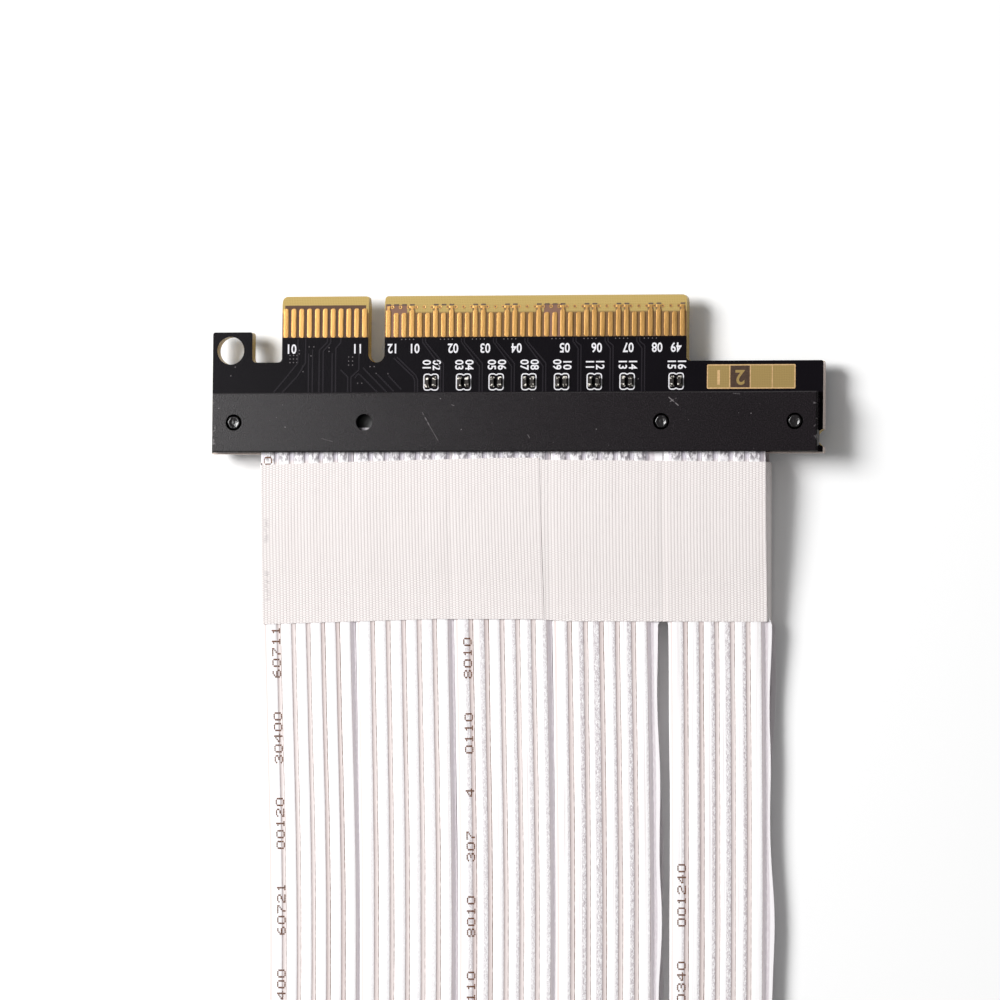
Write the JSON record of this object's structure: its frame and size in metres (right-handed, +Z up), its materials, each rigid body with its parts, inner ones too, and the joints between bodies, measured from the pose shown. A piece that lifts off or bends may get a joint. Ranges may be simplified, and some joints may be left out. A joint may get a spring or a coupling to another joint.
{
  "type": "pcie extension cable",
  "caption": "Flat white ribbon cable that extends a card slot: a black edge plug board under a clamp bar, taped foil ribbons, and a slot on a small board at the far end.",
  "frame": {"origin": "on the floor, midway between the plug's leading edge and the socket board's far edge, on the boards' middle line", "axes": "+Y along the cable towards the plug's leading edge, +Z up out of the plug board's front face, +X to the right seen from above"},
  "size_m": [0.0768, 0.1914, 0.0146],
  "materials": {
    "board_mask": "black solder mask, satin",
    "contact_gold": "hard gold plating",
    "chip_ceramic": "brown ceramic chips with tinned ends",
    "cover_black": "fine matte moulded black",
    "slot_black": "moulded black",
    "tape_cloth": "white woven tape",
    "ribbon_foil": "clear film over pale foil",
    "wire_tin": "tinned copper"
  },
  "bodies": {
    "root": {"plug_board": "board_mask", "socket_board": "board_mask", "plug_contacts_front": "contact_gold", "plug_contacts_rear": "contact_gold", "slot_contacts_near": "contact_gold", "slot_contacts_far": "contact_gold", "coupling_capacitors": "chip_ceramic", "plug_front_cover": "cover_black", "plug_rear_cover": "cover_black", "socket_front_cover": "cover_black", "socket_rear_cover": "cover_black", "slot_housing": "slot_black", "plug_tape": "tape_cloth", "socket_tape": "tape_cloth", "front_ribbon_1": "ribbon_foil", "front_ribbon_2": "ribbon_foil", "front_ribbon_3": "ribbon_foil", "front_ribbon_4": "ribbon_foil", "front_ribbon_5": "ribbon_foil", "rear_ribbon_1": "ribbon_foil", "rear_ribbon_2": "ribbon_foil", "rear_ribbon_3": "ribbon_foil", "rear_ribbon_4": "ribbon_foil", "rear_ribbon_5": "ribbon_foil", "plug_front_wires": "wire_tin", "plug_rear_wires": "wire_tin", "socket_front_wires": "wire_tin", "socket_rear_wires": "wire_tin"}
  },
  "joints": []
}
